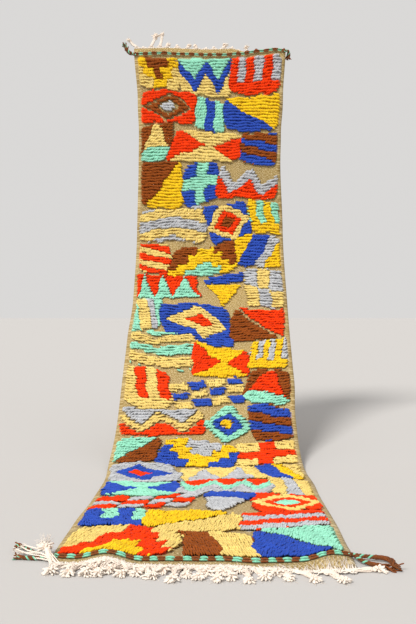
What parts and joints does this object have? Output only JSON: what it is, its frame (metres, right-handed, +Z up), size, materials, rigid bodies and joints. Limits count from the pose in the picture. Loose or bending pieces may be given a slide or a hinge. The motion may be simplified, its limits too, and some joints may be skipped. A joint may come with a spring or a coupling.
{
  "type": "beni ourain runner",
  "caption": "Long hand-knotted wool runner with raised geometric motifs, twined end cords and plaited fringe; it hangs from its top edge and bends onto the floor.",
  "frame": {"origin": "on the floor, under the middle of the stretch that lies flat", "axes": "+Z up; +Y back along the runner, from the end that lies on the floor to the end that hangs; +X to the right across its width"},
  "size_m": [0.8868, 1.8723, 1.9022],
  "materials": {
    "pile_wool": "matte wool pile on a flat weave",
    "cord_wool": "matte twined wool",
    "warp_yarn": "matte plaited yarn"
  },
  "bodies": {
    "root": {"runner": "pile_wool", "end_cord_front": "cord_wool", "end_cord_top": "cord_wool", "fringe_front": "warp_yarn", "fringe_top": "warp_yarn", "tassel_front_left": "cord_wool", "tassel_front_right": "cord_wool", "tassel_top_left": "cord_wool", "tassel_top_right": "cord_wool"}
  },
  "joints": []
}
